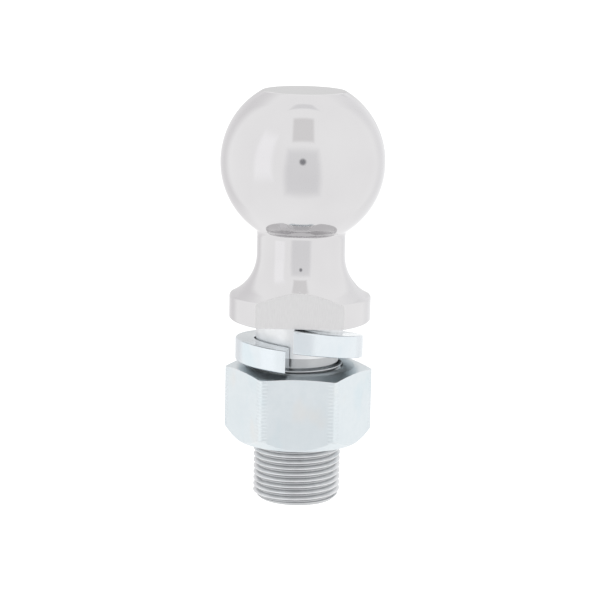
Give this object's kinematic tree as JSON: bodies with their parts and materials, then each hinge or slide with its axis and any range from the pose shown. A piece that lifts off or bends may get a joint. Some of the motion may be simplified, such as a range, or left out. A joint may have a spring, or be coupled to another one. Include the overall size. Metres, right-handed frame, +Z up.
{
  "type": "trailer hitch ball",
  "caption": "Chromed hitch ball on a flanged neck with wrench flats, threaded shank, split lock washer and hex nut.",
  "frame": {"origin": "centre of the flange's flat underside, the face that seats on the drawbar", "axes": "+Z up along the shank's axis, towards the ball; the flange's two wrench flats face +Y and -Y"},
  "size_m": [0.0476, 0.0476, 0.1199],
  "materials": {
    "chrome": "polished chrome plate",
    "washer_zinc": "bright zinc plate",
    "nut_zinc": "satin zinc plate"
  },
  "bodies": {
    "ball_stud": {"hitch_ball": "chrome"},
    "washer": {"lock_washer": "washer_zinc"},
    "nut": {"hex_nut": "nut_zinc"}
  },
  "joints": [
    {"name": "washer_slide", "type": "slide", "parent": "ball_stud", "child": "washer", "axis": [0, 0, 1], "range_m": [-0.04082, 0]},
    {"name": "nut_turn", "type": "hinge", "parent": "washer", "child": "nut", "pos_m": [0, 0, -0.0245], "axis": [0, 0, 1], "range_deg": [-8100, 0]}
  ],
  "couplings": [
    {"joint": "nut_turn", "follows": "washer_slide", "rad_per_m": 3463.2}
  ]
}
